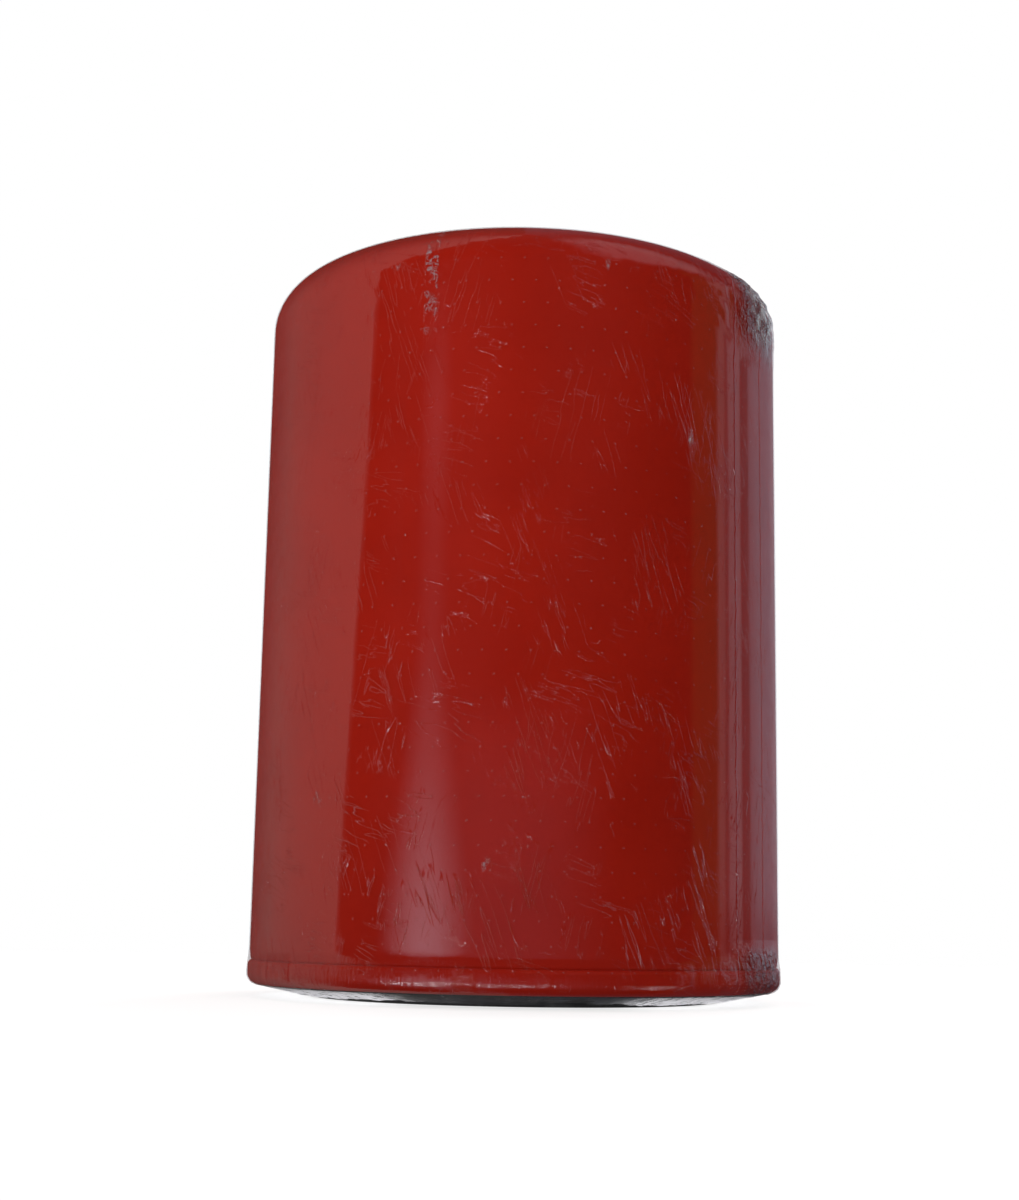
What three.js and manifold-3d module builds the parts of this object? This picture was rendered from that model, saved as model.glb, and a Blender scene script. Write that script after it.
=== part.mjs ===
// Spin-on oil filter: a drawn steel can seamed onto a threaded base, standing on its gasket.
// Millimetres, +Z up. The origin is the centre of the gasket's sealing face, and Z is the thread's axis.

import * as THREE from 'three';
import { mergeVertices } from 'three/addons/utils/BufferGeometryUtils.js';
import Module from 'manifold-3d';

const manifoldLibrary = await Module();
manifoldLibrary.setup();

// ---------------------------------------------------------------- driving dimensions

const GAP = 0.3;                    // clearance kept between pieces that touch on the real filter
const OUTER_SIDES = 32;             // facets round the can and the base
const INNER_SIDES = 24;             // facets round the element, the base plate and the valves
const SMALL_SIDES = 20;             // facets round the bypass valve's own pieces

const FILTER_TOP = 131.3;           // top of the dome above the sealing face
const WALL_R = 46.3;                // outside of the can's straight wall
const SHEET = 0.5;                  // sheet steel of the can, the retainer and the element's caps
const SHOULDER_R = 8;               // round between the wall and the dome
const DOME_R = 200;                 // spherical radius of the low dome

const SEAM_BOTTOM = 2.1;            // lowest point of the rolled seam: how far the gasket stands proud
const SEAM_R = 46.6;                // outside of the rolled seam
const SEAM_WIDTH = 2.1;             // across the whole curl
const CREASE_Z = 6.3;               // crease above the seam
const CREASE_R = 45.9;
const WALL_BOTTOM = 8.4;            // where the wall starts to draw in towards the crease

const GASKET_OUTER_R = 35.5;
const GASKET_INNER_R = 31;
const GASKET_HEIGHT = 6;

const FLANGE_Z = 4;                 // underside of the retainer's flat flange
const PLATE_THICKNESS = 3.2;
const PLATE_R = 42.9;
const THREAD_MINOR_R = 8.7;         // 3/4-16 UNF
const THREAD_MAJOR_R = 9.52;
const THREAD_PITCH = 25.4 / 16;
const COLLAR_R = 12.2;
const COLLAR_TOP = 17;
const INLET_COUNT = 8;
const INLET_R = 3;
const INLET_CIRCLE_R = 20.2;

const CHECK_VALVE_TOP = 18.6;       // the anti-drainback valve's collar
const CHECK_VALVE_BORE_R = 12.5;
const ELEMENT_LENGTH = 90;          // pleated paper and centre tube
const ELEMENT_R = 40.6;
const CAP_R = 42;
const ADHESIVE = 1.3;               // plastisol between the paper and each cap
const PLEATS = 40;
const PAPER = 0.6;
const FOLD_GAP = 0.3;               // half the space inside a fold
const TUBE_R = 17;
const TUBE_WALL = 0.6;

const POPPET_R = 9.3;
const STEM_R = 2.2;
const CAGE_R = 11.5;
const CAGE_FLANGE_R = 14.2;
const CAGE_DEPTH = 18.3;

const FILM = 0.25;                  // shrink film
const FILM_OPENING_R = 21;          // round opening that the shrunk film leaves on the dome

// ---------------------------------------------------------------- heights worked out from them

const plateBottom = GASKET_HEIGHT + GAP + SHEET + GAP;
const plateTop = plateBottom + PLATE_THICKNESS;
const lowerCapZ = CHECK_VALVE_TOP + GAP;
const paperBottom = lowerCapZ + SHEET + GAP + ADHESIVE + GAP;
const paperTop = paperBottom + ELEMENT_LENGTH;
const upperCapZ = paperTop + GAP + ADHESIVE + GAP;
const upperCapTop = upperCapZ + SHEET;
const seatZ = upperCapTop + GAP;
const cageBottom = upperCapTop - CAGE_DEPTH;
const shoulderCentreR = WALL_R - SHOULDER_R;
const domeCentreZ = FILTER_TOP - DOME_R;
const domeEdgeAngle = Math.asin(shoulderCentreR / (DOME_R - SHOULDER_R));
const shoulderCentreZ = domeCentreZ + (DOME_R - SHOULDER_R) * Math.cos(domeEdgeAngle);
const curlR = SEAM_WIDTH / 2;
const curlCentreR = SEAM_R - curlR;
const curlCentreZ = SEAM_BOTTOM + curlR;
const curlLegTop = SEAM_BOTTOM + 2.6;

// ---------------------------------------------------------------- materials

function material(color, roughness, metalness, opacity = 1) {
  return new THREE.MeshStandardMaterial({ color, roughness, metalness, opacity, transparent: opacity < 1 });
}

const redPaint = material(0x9c1a12, 0.3, 0);
const zincSteel = material(0xb9bcbd, 0.38, 1);
const bareSteel = material(0x8f9294, 0.42, 1);
const springSteel = material(0x6f7376, 0.35, 1);
const blackRubber = material(0x16161a, 0.62, 0);
const orangeRubber = material(0xb4491e, 0.6, 0);
const filterPaper = material(0xcaa56a, 0.9, 0);
const plastisol = material(0xd8cfa8, 0.55, 0);
const sealingCompound = material(0x5d5a52, 0.7, 0);
const clearFilm = material(0xe8e6ea, 0.12, 0, 0.3);

// ---------------------------------------------------------------- geometry helpers

const point = (r, z) => new THREE.Vector2(r, z);

// Points on an arc in the half plane of radius and height, angles in degrees from the outward direction.
function arc(centreR, centreZ, radius, fromDegrees, toDegrees, steps) {
  const points = [];
  for (let i = 0; i <= steps; i++) {
    const angle = THREE.MathUtils.degToRad(fromDegrees + (toDegrees - fromDegrees) * i / steps);
    points.push(point(centreR + radius * Math.cos(angle), centreZ + radius * Math.sin(angle)));
  }
  return points;
}

// A closed ring section with its four corners cut at 45 degrees.
function ringSection(innerR, outerR, bottom, top, bevel = 0) {
  if (bevel === 0) {
    return [point(innerR, bottom), point(outerR, bottom), point(outerR, top), point(innerR, top)];
  }
  return [
    point(innerR + bevel, bottom), point(outerR - bevel, bottom),
    point(outerR, bottom + bevel), point(outerR, top - bevel),
    point(outerR - bevel, top), point(innerR + bevel, top),
    point(innerR, top - bevel), point(innerR, bottom + bevel),
  ];
}

// Only positions, shared vertices merged, no zero triangles, and faces pointing out.
function closed(geometry) {
  geometry.deleteAttribute('normal');
  geometry.deleteAttribute('uv');
  const merged = mergeVertices(geometry, 1e-4);
  const position = merged.attributes.position;
  const corners = [new THREE.Vector3(), new THREE.Vector3(), new THREE.Vector3()];
  let index = [];
  let volume = 0;
  for (let i = 0; i < merged.index.count; i += 3) {
    const ids = [0, 1, 2].map((k) => merged.index.getX(i + k));
    if (new Set(ids).size < 3) continue;
    index.push(...ids);
    corners.forEach((corner, k) => corner.fromBufferAttribute(position, ids[k]));
    volume += corners[0].dot(corners[1].clone().cross(corners[2]));
  }
  if (volume < 0) index = index.reverse();
  merged.setIndex(index);
  merged.computeVertexNormals();
  return merged;
}

// A section turned about Z. One that doesn't start on the axis is closed on itself.
function lathe(section, sides) {
  const points = [...section];
  if (section[0].x > 0) points.push(section[0].clone());
  return closed(new THREE.LatheGeometry(points, sides).rotateX(Math.PI / 2));
}

function toManifold(geometry) {
  const mesh = new manifoldLibrary.Mesh({
    numProp: 3,
    vertProperties: new Float32Array(geometry.attributes.position.array),
    triVerts: new Uint32Array(geometry.index.array),
  });
  return new manifoldLibrary.Manifold(mesh);
}

function fromManifold(solid) {
  const mesh = solid.getMesh();
  const geometry = new THREE.BufferGeometry();
  geometry.setAttribute('position', new THREE.BufferAttribute(mesh.vertProperties, 3));
  geometry.setIndex(new THREE.BufferAttribute(mesh.triVerts, 1));
  geometry.computeVertexNormals();
  return geometry;
}

function cut(geometry, tools) {
  let solid = toManifold(geometry);
  for (const tool of tools) solid = solid.subtract(toManifold(closed(tool)));
  return fromManifold(solid);
}

// A round wire swept along a helix; ends lists how many turns lie flat at each end.
class Helix extends THREE.Curve {
  constructor(radius, bottom, top, turns, flatTurns) {
    super();
    Object.assign(this, { radius, bottom, top, turns, flatTurns });
  }

  getPoint(t, target = new THREE.Vector3()) {
    const turn = t * this.turns;
    const active = this.turns - 2 * this.flatTurns;
    const rise = THREE.MathUtils.clamp((turn - this.flatTurns) / active, 0, 1);
    const angle = 2 * Math.PI * turn;
    return target.set(
      this.radius * Math.cos(angle),
      this.radius * Math.sin(angle),
      this.bottom + (this.top - this.bottom) * rise,
    );
  }
}

function coil(helix, wireR, wireSides, stepsPerTurn) {
  const wire = new THREE.Shape(new THREE.EllipseCurve(0, 0, wireR, wireR).getPoints(wireSides).slice(0, -1));
  const steps = Math.round(helix.turns * stepsPerTurn);
  return closed(new THREE.ExtrudeGeometry(wire, { steps, extrudePath: helix, bevelEnabled: false }));
}

// A flat outline raised from bottom to top.
function prism(shape, bottom, top) {
  const geometry = new THREE.ExtrudeGeometry(shape, { depth: top - bottom, bevelEnabled: false });
  return geometry.translate(0, 0, bottom);
}

// ---------------------------------------------------------------- can and seam

// The can's dome, shoulder and wall, on a surface set in from the outside by inset.
function canOutline(inset, domeSteps, shoulderSteps, startR = 0) {
  const r = DOME_R - inset;
  const startAngle = Math.asin(startR / r);
  const points = [];
  for (let i = 0; i < domeSteps; i++) {
    const angle = startAngle + (domeEdgeAngle - startAngle) * i / domeSteps;
    points.push(point(r * Math.sin(angle), domeCentreZ + r * Math.cos(angle)));
  }
  const shoulderStart = 90 - THREE.MathUtils.radToDeg(domeEdgeAngle);
  points.push(...arc(shoulderCentreR, shoulderCentreZ, SHOULDER_R - inset, shoulderStart, 0, shoulderSteps));
  points.push(point(WALL_R - inset, WALL_BOTTOM));
  return points;
}

// One drawn cup. Its rim is curled under and up again, and the retainer hooks into the curl.
function shell() {
  const curlInnerR = curlR - SHEET;
  const beadTop = CREASE_Z - 0.9;
  const outside = [
    ...canOutline(0, 3, 6),
    point(CREASE_R, CREASE_Z),
    point(SEAM_R - 0.2, CREASE_Z - 0.3),
    point(SEAM_R, beadTop),
    ...arc(curlCentreR, curlCentreZ, curlR, 0, -180, 8),
  ];
  const inside = [
    point(curlCentreR - curlR, curlLegTop),
    point(curlCentreR - curlInnerR, curlLegTop),
    ...arc(curlCentreR, curlCentreZ, curlInnerR, -180, 0, 4),
    point(SEAM_R - SHEET, beadTop - 0.2),
    point(CREASE_R - SHEET, CREASE_Z + 0.1),
    ...canOutline(SHEET, 2, 4).reverse(),
  ];
  return lathe([...outside, ...inside], OUTER_SIDES);
}

function seamSealant() {
  const halfWidth = curlR - SHEET - GAP;
  const bottom = curlCentreZ - 0.25;
  return lathe(ringSection(curlCentreR - halfWidth, curlCentreR + halfWidth, bottom, bottom + 0.7), OUTER_SIDES);
}

// ---------------------------------------------------------------- base

// Thin lid: hooks into the curl, drops to a flat flange, and steps up to hold the gasket.
function retainer() {
  const hookOuterR = SEAM_R - SHEET - GAP;
  const hookInnerR = hookOuterR - SHEET;
  const hookBottom = SEAM_BOTTOM + 1.8;
  const bridgeBottom = curlLegTop + GAP;
  const bridgeTop = bridgeBottom + SHEET;
  const wallOuterR = curlCentreR - curlR - GAP;
  const wallInnerR = wallOuterR - SHEET;
  const grooveR = GASKET_OUTER_R + GAP;
  const floorZ = GASKET_HEIGHT + GAP;
  const ribOuterR = GASKET_INNER_R - GAP;
  const ribInnerR = ribOuterR - 0.7;
  const ribBottom = 4.3;
  const openingR = 27;
  return lathe([
    point(hookInnerR, hookBottom), point(hookOuterR, hookBottom),
    point(hookOuterR, bridgeTop - 0.2), point(hookOuterR - 0.2, bridgeTop),
    point(wallInnerR + 0.2, bridgeTop), point(wallInnerR, bridgeTop - 0.2),
    point(wallInnerR, FLANGE_Z + SHEET),
    point(grooveR + SHEET, FLANGE_Z + SHEET), point(grooveR + SHEET, floorZ + SHEET),
    point(openingR, floorZ + SHEET), point(openingR, floorZ),
    point(ribInnerR, floorZ), point(ribInnerR, ribBottom), point(ribOuterR, ribBottom), point(ribOuterR, floorZ),
    point(grooveR, floorZ), point(grooveR, FLANGE_Z + 0.3), point(grooveR + 0.3, FLANGE_Z),
    point(wallOuterR - 0.3, FLANGE_Z), point(wallOuterR, FLANGE_Z + 0.3),
    point(wallOuterR, bridgeBottom), point(hookInnerR, bridgeBottom),
  ], OUTER_SIDES);
}

function gasket() {
  return lathe(ringSection(GASKET_INNER_R, GASKET_OUTER_R, 0, GASKET_HEIGHT, 0.4), OUTER_SIDES);
}

// Thick base plate with the drawn collar, its thread and the ring of inlet holes.
function tappingPlate() {
  const body = lathe([
    point(THREAD_MAJOR_R + 0.5, plateBottom), point(PLATE_R - 0.3, plateBottom),
    point(PLATE_R, plateBottom + 0.3), point(PLATE_R, plateTop),
    point(COLLAR_R + 1.6, plateTop), point(COLLAR_R + 0.5, plateTop + 0.5), point(COLLAR_R, plateTop + 1.6),
    point(COLLAR_R, COLLAR_TOP - 0.5), point(COLLAR_R - 0.5, COLLAR_TOP),
    point(THREAD_MAJOR_R, COLLAR_TOP), point(THREAD_MINOR_R, COLLAR_TOP - 0.8),
    point(THREAD_MINOR_R, plateBottom + 1.3),
  ], INNER_SIDES);
  const tools = [];
  for (let i = 0; i < INLET_COUNT; i++) {
    const angle = 2 * Math.PI * (i + 0.5) / INLET_COUNT;
    const drill = new THREE.CylinderGeometry(INLET_R, INLET_R, 3 * PLATE_THICKNESS, 12).rotateX(Math.PI / 2);
    drill.translate(INLET_CIRCLE_R * Math.cos(angle), INLET_CIRCLE_R * Math.sin(angle), plateBottom);
    tools.push(drill);
  }
  const grooveR = 0.68;
  const grooveBottom = plateBottom - THREAD_PITCH;
  const grooveTop = COLLAR_TOP + THREAD_PITCH;
  const turns = (grooveTop - grooveBottom) / THREAD_PITCH;
  const groove = new Helix(THREAD_MAJOR_R - grooveR, grooveBottom, grooveTop, turns, 0);
  tools.push(coil(groove, grooveR, 5, 12));
  return cut(body, tools);
}

// Rubber valve: a collar round the thread's boss and a cone that lies over the inlet holes.
function checkValve() {
  const bottom = plateTop + GAP;
  const boreR = CHECK_VALVE_BORE_R;
  const sleeveR = boreR + 1.5;
  const lipR = INLET_CIRCLE_R + INLET_R + 3;
  const flangeR = 18;
  return lathe([
    point(boreR, plateTop + 2), point(sleeveR, plateTop + 2), point(sleeveR, 14.4),
    point(lipR - 2.4, bottom + 0.5), point(lipR - 1.6, bottom), point(lipR, bottom),
    point(lipR + 0.2, bottom + 0.6), point(lipR - 0.8, bottom + 1.3),
    point(sleeveR + 1.4, 15.8), point(sleeveR + 1.4, CHECK_VALVE_TOP - 1.6), point(flangeR, CHECK_VALVE_TOP - 1.2),
    point(flangeR, CHECK_VALVE_TOP), point(boreR, CHECK_VALVE_TOP),
  ], INNER_SIDES);
}

// ---------------------------------------------------------------- element

// A pressed steel cap with a turned rim, drawn for rims that rise (turn 1) or hang (turn -1).
function capSection(z, turn) {
  const flatNear = turn > 0 ? z : z + SHEET;
  const flatFar = flatNear + turn * SHEET;
  const rim = flatNear + turn * 3.6;
  const neck = flatNear + turn * 3;
  return { flatNear, flatFar, rim, neck };
}

function lowerCap() {
  const { flatNear, flatFar, rim, neck } = capSection(lowerCapZ, 1);
  const holeR = 13.2;
  return lathe([
    point(holeR, flatNear + 0.3), point(holeR + 0.3, flatNear), point(CAP_R - 0.6, flatNear),
    point(CAP_R, flatNear + 0.6), point(CAP_R, rim), point(CAP_R - SHEET, rim), point(CAP_R - SHEET, flatFar),
    point(holeR + SHEET, flatFar), point(holeR + SHEET, neck), point(holeR, neck),
  ], INNER_SIDES);
}

function upperCap() {
  const { flatNear, flatFar, rim } = capSection(upperCapZ, -1);
  const holeR = CAGE_FLANGE_R + GAP;
  return lathe([
    point(holeR, flatNear), point(CAP_R - 0.6, flatNear), point(CAP_R, flatNear - 0.6),
    point(CAP_R, rim), point(CAP_R - SHEET, rim), point(CAP_R - SHEET, flatFar), point(holeR, flatFar),
  ], INNER_SIDES);
}

function adhesive(bottom, innerR) {
  return lathe(ringSection(innerR, ELEMENT_R + 0.4, bottom, bottom + ADHESIVE), INNER_SIDES);
}

// Corners of one side of the folded paper, inner = true for the side that faces the centre tube.
function pleatOutline(inner) {
  const valleyR = TUBE_R + 0.8;
  const pitch = 2 * Math.PI / PLEATS;
  const points = [];
  for (let i = 0; i < PLEATS; i++) {
    const tipR = (i === 0 ? ELEMENT_R - 1.1 : ELEMENT_R) - (inner ? PAPER : 0);
    const floorR = valleyR + (inner ? 0 : PAPER);
    const tipHalf = (FOLD_GAP + (inner ? 0 : PAPER)) / tipR;
    const floorHalf = (FOLD_GAP + (inner ? PAPER : 0)) / floorR;
    const corners = [
      [tipR, i * pitch - tipHalf], [tipR, i * pitch + tipHalf],
      [floorR, (i + 0.5) * pitch - floorHalf], [floorR, (i + 0.5) * pitch + floorHalf],
    ];
    for (const [r, angle] of corners) points.push(point(r * Math.cos(angle), r * Math.sin(angle)));
  }
  return points;
}

function pleatedPaper() {
  const outline = new THREE.Shape(pleatOutline(false));
  outline.holes.push(new THREE.Path(pleatOutline(true)));
  return closed(prism(outline, paperBottom, paperTop));
}

// The metal channel that closes the paper's two ends, over the tip of the first fold.
function seamClip() {
  const outerR = ELEMENT_R;
  const reach = 5;
  const slotHalf = PAPER + FOLD_GAP + GAP;
  const half = slotHalf + SHEET;
  const channel = new THREE.Shape([
    point(outerR - reach, -half), point(outerR, -half), point(outerR, half), point(outerR - reach, half),
    point(outerR - reach, slotHalf), point(outerR - SHEET, slotHalf),
    point(outerR - SHEET, -slotHalf), point(outerR - reach, -slotHalf),
  ]);
  return closed(prism(channel, paperBottom + 0.5, paperTop - 0.5));
}

function centreTube() {
  const body = lathe(ringSection(TUBE_R - TUBE_WALL, TUBE_R, paperBottom, paperTop), INNER_SIDES);
  const rows = 6;
  const drillsPerRow = 3;
  const holeR = 2.4;
  const tools = [];
  for (let row = 0; row < rows; row++) {
    const z = paperBottom + ELEMENT_LENGTH * (row + 0.5) / rows;
    for (let i = 0; i < drillsPerRow; i++) {
      const drill = new THREE.CylinderGeometry(holeR, holeR, 4 * TUBE_R, 8);
      drill.rotateZ(Math.PI * (i + (row % 2) / 2) / drillsPerRow);
      tools.push(drill.translate(0, 0, z));
    }
  }
  return cut(body, tools);
}

// ---------------------------------------------------------------- bypass valve and support spring

function bypassSeat() {
  return lathe(ringSection(7, 20, seatZ, seatZ + 0.8), INNER_SIDES);
}

function bypassCage() {
  const innerR = CAGE_R - SHEET;
  const floorTop = cageBottom + 0.6;
  const body = lathe([
    point(STEM_R + GAP, cageBottom), point(CAGE_R - 0.6, cageBottom), point(CAGE_R, cageBottom + 0.6),
    point(CAGE_R, upperCapZ), point(CAGE_FLANGE_R, upperCapZ), point(CAGE_FLANGE_R, upperCapTop),
    point(innerR, upperCapTop), point(innerR, floorTop), point(STEM_R + GAP, floorTop),
  ], SMALL_SIDES);
  const windowHeight = 9.5;
  const windows = [0, 1].map((i) => {
    const slot = new THREE.BoxGeometry(4 * CAGE_R, 9, windowHeight);
    return slot.rotateZ(Math.PI * i / 2).translate(0, 0, floorTop + 2 + windowHeight / 2);
  });
  return cut(body, windows);
}

const sealTop = seatZ - GAP;
const sealBottom = sealTop - 1.3;
const poppetTop = sealBottom - GAP;
const poppetBottom = poppetTop - 1.2;

function bypassPoppet() {
  const stemEnd = cageBottom - 5;
  return lathe([
    point(0, poppetTop), point(POPPET_R - 0.3, poppetTop), point(POPPET_R, poppetTop - 0.3),
    point(POPPET_R, poppetBottom), point(4.2, poppetBottom), point(3.6, poppetBottom - 1.4),
    point(STEM_R, poppetBottom - 1.8), point(STEM_R, stemEnd + 1), point(STEM_R - 1, stemEnd), point(0, stemEnd),
  ], SMALL_SIDES);
}

function bypassSeal() {
  return lathe(ringSection(5.8, POPPET_R - 0.2, sealBottom, sealTop, 0.3), SMALL_SIDES);
}

function bypassSpring() {
  const wireR = 0.6;
  const bottom = cageBottom + 0.6 + GAP + wireR;
  const top = poppetBottom - GAP - wireR;
  return coil(new Helix(6.2, bottom, top, 6, 0.9), wireR, 5, 11);
}

function supportSpring() {
  const wireR = 1.1;
  const coilR = 24;
  const outerR = coilR + wireR;
  const domeUnderside = domeCentreZ + Math.sqrt((DOME_R - SHEET) ** 2 - outerR ** 2);
  const bottom = seatZ + wireR;
  const top = domeUnderside - GAP - wireR;
  return coil(new Helix(coilR, bottom, top, 3.5, 0.8), wireR, 6, 16);
}

// ---------------------------------------------------------------- shrink film

// Clear sleeve, shrunk over the shoulder and round the seam, ending beside the gasket.
function shrinkFilm() {
  const skin = (out) => [
    ...canOutline(-out, 2, 6, FILM_OPENING_R),
    point(SEAM_R + out, CREASE_Z - 1),
    ...arc(curlCentreR, curlCentreZ, curlR + out, 0, -68, 3),
    point(GASKET_OUTER_R + 0.6, SEAM_BOTTOM - 1.2 - out),
  ];
  return lathe([...skin(GAP + FILM), ...skin(GAP).reverse()], OUTER_SIDES);
}

// ---------------------------------------------------------------- assembly

const filter = new THREE.Group();
const element = new THREE.Group();
const bypassValve = new THREE.Group();

function place(group, name, geometry, itsMaterial) {
  const mesh = new THREE.Mesh(geometry, itsMaterial);
  mesh.name = name;
  group.add(mesh);
}

place(filter, 'shell', shell(), redPaint);
place(filter, 'seam_sealant', seamSealant(), sealingCompound);
place(filter, 'retainer', retainer(), zincSteel);
place(filter, 'sealing_gasket', gasket(), blackRubber);
place(filter, 'tapping_plate', tappingPlate(), bareSteel);
place(filter, 'antidrainback_valve', checkValve(), orangeRubber);
place(filter, 'element_support_spring', supportSpring(), springSteel);
place(filter, 'shrink_film', shrinkFilm(), clearFilm);

place(element, 'lower_end_cap', lowerCap(), zincSteel);
place(element, 'lower_cap_adhesive', adhesive(lowerCapZ + SHEET + GAP, 14), plastisol);
place(element, 'center_tube', centreTube(), bareSteel);
place(element, 'pleated_paper', pleatedPaper(), filterPaper);
place(element, 'paper_seam_clip', seamClip(), bareSteel);
place(element, 'upper_cap_adhesive', adhesive(paperTop + GAP, CAGE_FLANGE_R + 0.6), plastisol);
place(element, 'upper_end_cap', upperCap(), zincSteel);
place(element, 'bypass_seat', bypassSeat(), bareSteel);
place(element, 'bypass_cage', bypassCage(), bareSteel);
place(element, 'bypass_spring', bypassSpring(), springSteel);

place(bypassValve, 'bypass_poppet', bypassPoppet(), bareSteel);
place(bypassValve, 'bypass_seal', bypassSeal(), blackRubber);

element.add(bypassValve);
filter.add(element);

export default filter;
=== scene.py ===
"""The looks of the spin-on oil filter, in metres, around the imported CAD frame.

Every piece is turned or swept from a few sections whose sizes come from the CAD nodes' boxes.
"""
import math

import bmesh
import bpy
import numpy as np
from mathutils import Matrix, Vector

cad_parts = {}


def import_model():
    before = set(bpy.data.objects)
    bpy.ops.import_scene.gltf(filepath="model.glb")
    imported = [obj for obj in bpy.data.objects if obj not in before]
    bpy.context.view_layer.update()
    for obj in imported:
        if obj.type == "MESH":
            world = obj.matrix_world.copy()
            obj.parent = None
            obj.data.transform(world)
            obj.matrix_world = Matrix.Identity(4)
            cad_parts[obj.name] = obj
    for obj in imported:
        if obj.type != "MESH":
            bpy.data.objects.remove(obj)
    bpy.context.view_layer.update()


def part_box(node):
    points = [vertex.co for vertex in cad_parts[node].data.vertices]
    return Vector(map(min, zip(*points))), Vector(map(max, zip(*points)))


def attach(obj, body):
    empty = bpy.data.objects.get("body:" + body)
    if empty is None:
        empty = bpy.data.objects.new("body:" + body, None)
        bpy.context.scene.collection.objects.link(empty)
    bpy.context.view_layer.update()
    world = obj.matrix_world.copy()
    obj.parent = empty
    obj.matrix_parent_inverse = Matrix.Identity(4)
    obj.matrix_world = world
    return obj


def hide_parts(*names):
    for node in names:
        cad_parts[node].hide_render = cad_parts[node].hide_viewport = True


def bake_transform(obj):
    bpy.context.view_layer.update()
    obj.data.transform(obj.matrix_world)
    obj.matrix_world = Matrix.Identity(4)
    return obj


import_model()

MM = 0.001
TAU = 2 * math.pi


def box_mm(node):
    """The radius, lowest and highest level of a CAD node, in millimetres."""
    low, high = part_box(node)
    return high.x / MM, low.z / MM, high.z / MM


# ---------------------------------------------------------------- sizes, in millimetres

SHEET = 0.5                                     # sheet steel
SEAM_R, SEAM_BOTTOM, FILTER_TOP = box_mm("shell")
FILM_R = box_mm("shrink_film")[0]
GASKET_R, GASKET_FACE, GASKET_TOP = box_mm("sealing_gasket")
GASKET_WIDTH = 4.5
WALL_R = SEAM_R - 0.3
SHOULDER_R = 8
DOME_R = 200
BEAD_Z = SEAM_BOTTOM + 1.9                      # where the rolled seam's flank starts to turn in
CREASE_Z = SEAM_BOTTOM + 4.2
CREASE_R = SEAM_R - 0.45
SEAM_INNER_R = SEAM_R - 2.1                     # the inner leg of the seam's curl
LEG_TOP = SEAM_BOTTOM + 2.6
DOME_CENTRE_Z = FILTER_TOP - DOME_R
DOME_EDGE = math.asin((WALL_R - SHOULDER_R) / (DOME_R - SHOULDER_R))
SHOULDER_Z = DOME_CENTRE_Z + (DOME_R - SHOULDER_R) * math.cos(DOME_EDGE)


# ---------------------------------------------------------------- camera

def make_camera():
    """Stands low in front of the filter and looks a little up at it."""
    distance = 7.01 * SEAM_R * MM
    height = (SEAM_BOTTOM + 0.232 * SEAM_R) * MM
    yaw, pitch, roll = (math.radians(a) for a in (-0.32, 10.14, -0.99))
    forward = Vector((math.sin(yaw) * math.cos(pitch), math.cos(yaw) * math.cos(pitch), math.sin(pitch)))
    level_right = Vector((math.cos(yaw), -math.sin(yaw), 0))
    level_up = level_right.cross(forward)
    right = level_right * math.cos(roll) - level_up * math.sin(roll)
    up = level_right * math.sin(roll) + level_up * math.cos(roll)
    data = bpy.data.cameras.new("camera")
    data.sensor_width = 36
    data.lens = 54.3
    data.clip_start = 0.01
    camera = bpy.data.objects.new("camera", data)
    axes = Matrix((right, up, -forward)).transposed()
    camera.matrix_world = Matrix.Translation((0, -distance, height)) @ axes.to_4x4()
    bpy.context.scene.collection.objects.link(camera)
    bpy.context.scene.camera = camera


make_camera()


# ---------------------------------------------------------------- node graphs

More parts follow.
